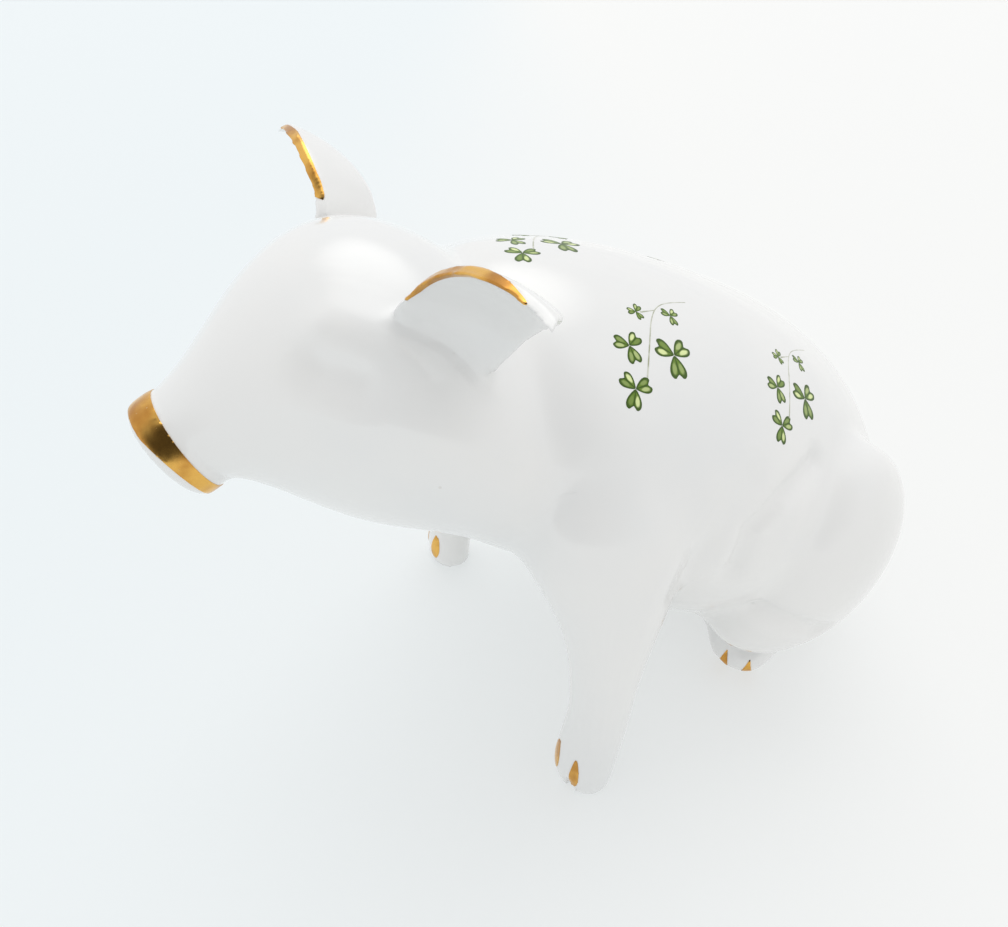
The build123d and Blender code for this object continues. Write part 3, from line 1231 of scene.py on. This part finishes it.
@dataclass
class Studio:
    """The pale floor, the soft lamp, the world and the camera."""

    camera_place: Point = (0.08109, -0.05421, 0.11877)
    view: Point = (-0.705, 0.351, -0.616)
    lens: float = 25.0
    sensor: float = 36.0
    nearest: float = 0.005
    floor_size: float = 8.0
    floor_white: Colour = (0.84, 0.845, 0.835, 1.0)
    # painted shade: the paper is drawn bluer and darker towards picture-left, where less light
    # falls
    floor_painted_shade: Colour = (0.77, 0.815, 0.83, 1.0)
    floor_run: Pair = (-0.16, 0.12)
    # painted light: the paper's own colour is darkened and it glows instead, which lifts the pig's
    # cast shadow on it
    floor_paper: float = 0.45
    floor_glow: float = 0.60
    black: Colour = (0.0, 0.0, 0.0, 1.0)
    window: Point = (-0.45, 0.25, 1.0)
    window_strength: float = 0.75
    window_spread: float = 50.0
    pane_edge: Pair = (0.84, 0.995)
    pane_light: Colour = (2.3, 2.3, 2.25, 1.0)
    dim_edge: Pair = (0.45, 0.95)
    dim_light: Colour = (0.06, 0.055, 0.05, 1.0)
    room_light: Colour = (0.90, 0.905, 0.91, 1.0)

    def camera(self) -> None:
        """Sets the camera where the photograph was taken from."""
        data = bpy.data.cameras.new("camera")
        data.lens = self.lens
        data.sensor_width = self.sensor
        data.sensor_fit = "HORIZONTAL"
        data.clip_start = self.nearest
        camera = Bench.new("camera", data)
        camera.location = self.camera_place
        camera.rotation_euler = Vector(self.view).to_track_quat("-Z", "Y").to_euler()
        bpy.context.scene.camera = camera

    def floor(self) -> None:
        """Lays the pale paper of the light table that the pig sits on. Its colour carries painted
        shade, bluer and darker towards picture-left, and its glow lifts the pig's shadows on it as
        painted light.
        """
        bpy.ops.object.select_all(action="DESELECT")
        bpy.ops.mesh.primitive_plane_add(size=self.floor_size)
        floor = bpy.context.object
        floor.name = "paper_floor"
        material = bpy.data.materials.new("pale_paper")
        sheet = Sheet(material)
        place = sheet.place()
        fibre = sheet.noise(place, 700.0, 2.0)
        # painted shade: the floor's colour runs from bluer and darker at picture-left to white at
        # picture-right
        rightward = sheet.dot(place, PICTURE_RIGHT).step(*self.floor_run)
        colour = sheet.blend(rightward, self.floor_painted_shade, self.floor_white)
        sheet.principled(
            {
                "Base Color": sheet.blend(self.floor_paper, self.black, colour),
                # painted light: the floor glows in its own colour, so the pig's shadows on it stay
                # faint
                "Emission Color": colour,
                "Emission Strength": self.floor_glow,
                "Roughness": 0.75 + fibre * 0.1,
                "Specular IOR Level": 0.2,
                "Normal": sheet.bump(fibre, 0.02 * MM, 0.2),
            }
        )
        floor.data.materials.append(material)

    def lamp(self) -> None:
        """Hangs a broad soft lamp, whose mirror image is the world's soft pane instead."""
        data = bpy.data.lights.new("ceiling_window", "SUN")
        data.energy = self.window_strength
        data.angle = math.radians(self.window_spread)
        lamp = Bench.new("ceiling_window", data)
        lamp.location = Vector(self.window)
        lamp.visible_glossy = False
        lamp.rotation_euler = (-Vector(self.window)).to_track_quat("-Z", "Y").to_euler()

    def world(self) -> None:
        """Fills the room with even light. Mirrors see a dark camera side and a bright pane."""
        world = bpy.data.worlds.new("white_room")
        bpy.context.scene.world = world
        sheet = Sheet(world)
        ray = sheet.add("ShaderNodeTexCoord", {}, {}).outputs["Generated"]
        mirrored = sheet.signal("ShaderNodeLightPath", {}, {}, "Is Glossy Ray")
        dim = sheet.dot(ray, (-Vector(self.view)).normalized()).step(*self.dim_edge) * mirrored
        pane = sheet.dot(ray, Vector(self.window).normalized()).step(*self.pane_edge) * mirrored
        room = sheet.blend(dim, self.room_light, self.dim_light)
        colour = sheet.blend(pane, room, self.pane_light)
        background = sheet.add("ShaderNodeBackground", {}, {"Color": colour, "Strength": 1.0})
        sheet.add("ShaderNodeOutputWorld", {}, {"Surface": background.outputs["Background"]})

    def build(self) -> None:
        """Sets up the whole studio."""
        bpy.context.scene.view_settings.view_transform = "Standard"
        self.camera()
        self.floor()
        self.world()
        self.lamp()


@dataclass
class Pig:
    """The whole figurine: skin, gilding and prints."""

    skin: Skin = field(default_factory=Skin)
    tilts: Sequence[EarTilt] = (
        EarTilt(Side.LEFT, ((10.0, TOWARDS_CAMERA),)),
        EarTilt(Side.RIGHT, ((10.0, MIRRORED_AXIS), (14.0, TOWARDS_CAMERA)), (0.0, 1.5, 0.9)),
    )
    foot_turn: FootTurn = field(default_factory=FootTurn)
    snout_front: Point = (0.20, -0.89, -0.45)
    snout_reach: float = 0.40
    rim_bare: float = -0.4
    rim_profile: Sequence[Pair] = (
        *((0.10, -0.4), (0.18, 0.6), (0.28, 1.0), (0.62, 1.0)),
        *((0.76, 0.6), (0.86, 0.3), (0.93, 0.2), (0.96, -0.4)),
    )
    fore_reach: float = 1.5
    hind_reach: float = 5.0

    def gildings(self) -> list[Gilding]:
        """The gold films, each where its CAD film is."""
        films = [
            Gilding("snout_gilding", "gilded_snout", self.snout_reach, front=self.snout_front)
        ]
        for side in Side:
            ear, rim = side.node("ear_gilding"), f"gilded_{side.node('ear_rim')}"
            run = (side.value * PICTURE_RIGHT[0], *PICTURE_RIGHT[1:])
            films.append(Gilding(ear, rim, self.rim_bare, self.rim_profile, run))
            fore, hind = side.node("front_claws"), side.node("hind_claws")
            films.append(Claws(fore, f"gilded_{fore}", self.fore_reach, side=side))
            films.append(HindClaws(hind, f"gilded_{hind}", self.hind_reach, side=side))
        return films

    def sprigs(self) -> list[Sprig]:
        """The clover transfers on the shoulders and the hips."""
        heading = (0.59, -0.80, -0.10)
        return [
            Sprig("left_shoulder_sprig", (15.2, -0.7, 77.9), heading, (0.54, 0.19, 0.82)),
            Sprig("right_shoulder_sprig", (-7.3, -5.3, 81.0), heading, (-0.25, 0.0, 0.97)),
            Sprig("left_hip_sprig", (17.9, 23.9, 66.2), heading, (0.59, 0.37, 0.72)),
            Sprig("right_hip_sprig", (-13.0, 21.0, 68.0), heading, (-0.45, 0.37, 0.81)),
        ]

    def build(self) -> None:
        """Builds and dresses every piece."""
        glaze = Glaze().material()
        gold = GoldLustre().material()
        leaf_ink = CloverInk().material()
        stem_ink = StemInk().material()
        castings = self.skin.castings()
        skin = self.skin.build(castings)
        films = [film.build(skin, gold) for film in self.gildings()]
        for tilt in self.tilts:
            tilt.apply([skin, *films], castings)
        self.foot_turn.apply([skin, *films])
        self.skin.keep_normals(skin)
        tree = Bench.tree(skin)
        for sprig in self.sprigs():
            sprig.build(tree, leaf_ink, stem_ink)
        self.skin.part(skin, castings, glaze)


def main() -> None:
    """Builds the pig and its studio."""
    logging.basicConfig(level=logging.INFO, format="%(message)s")
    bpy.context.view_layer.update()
    Studio().build()
    Pig().build()


if __name__ == "__main__":
    main()
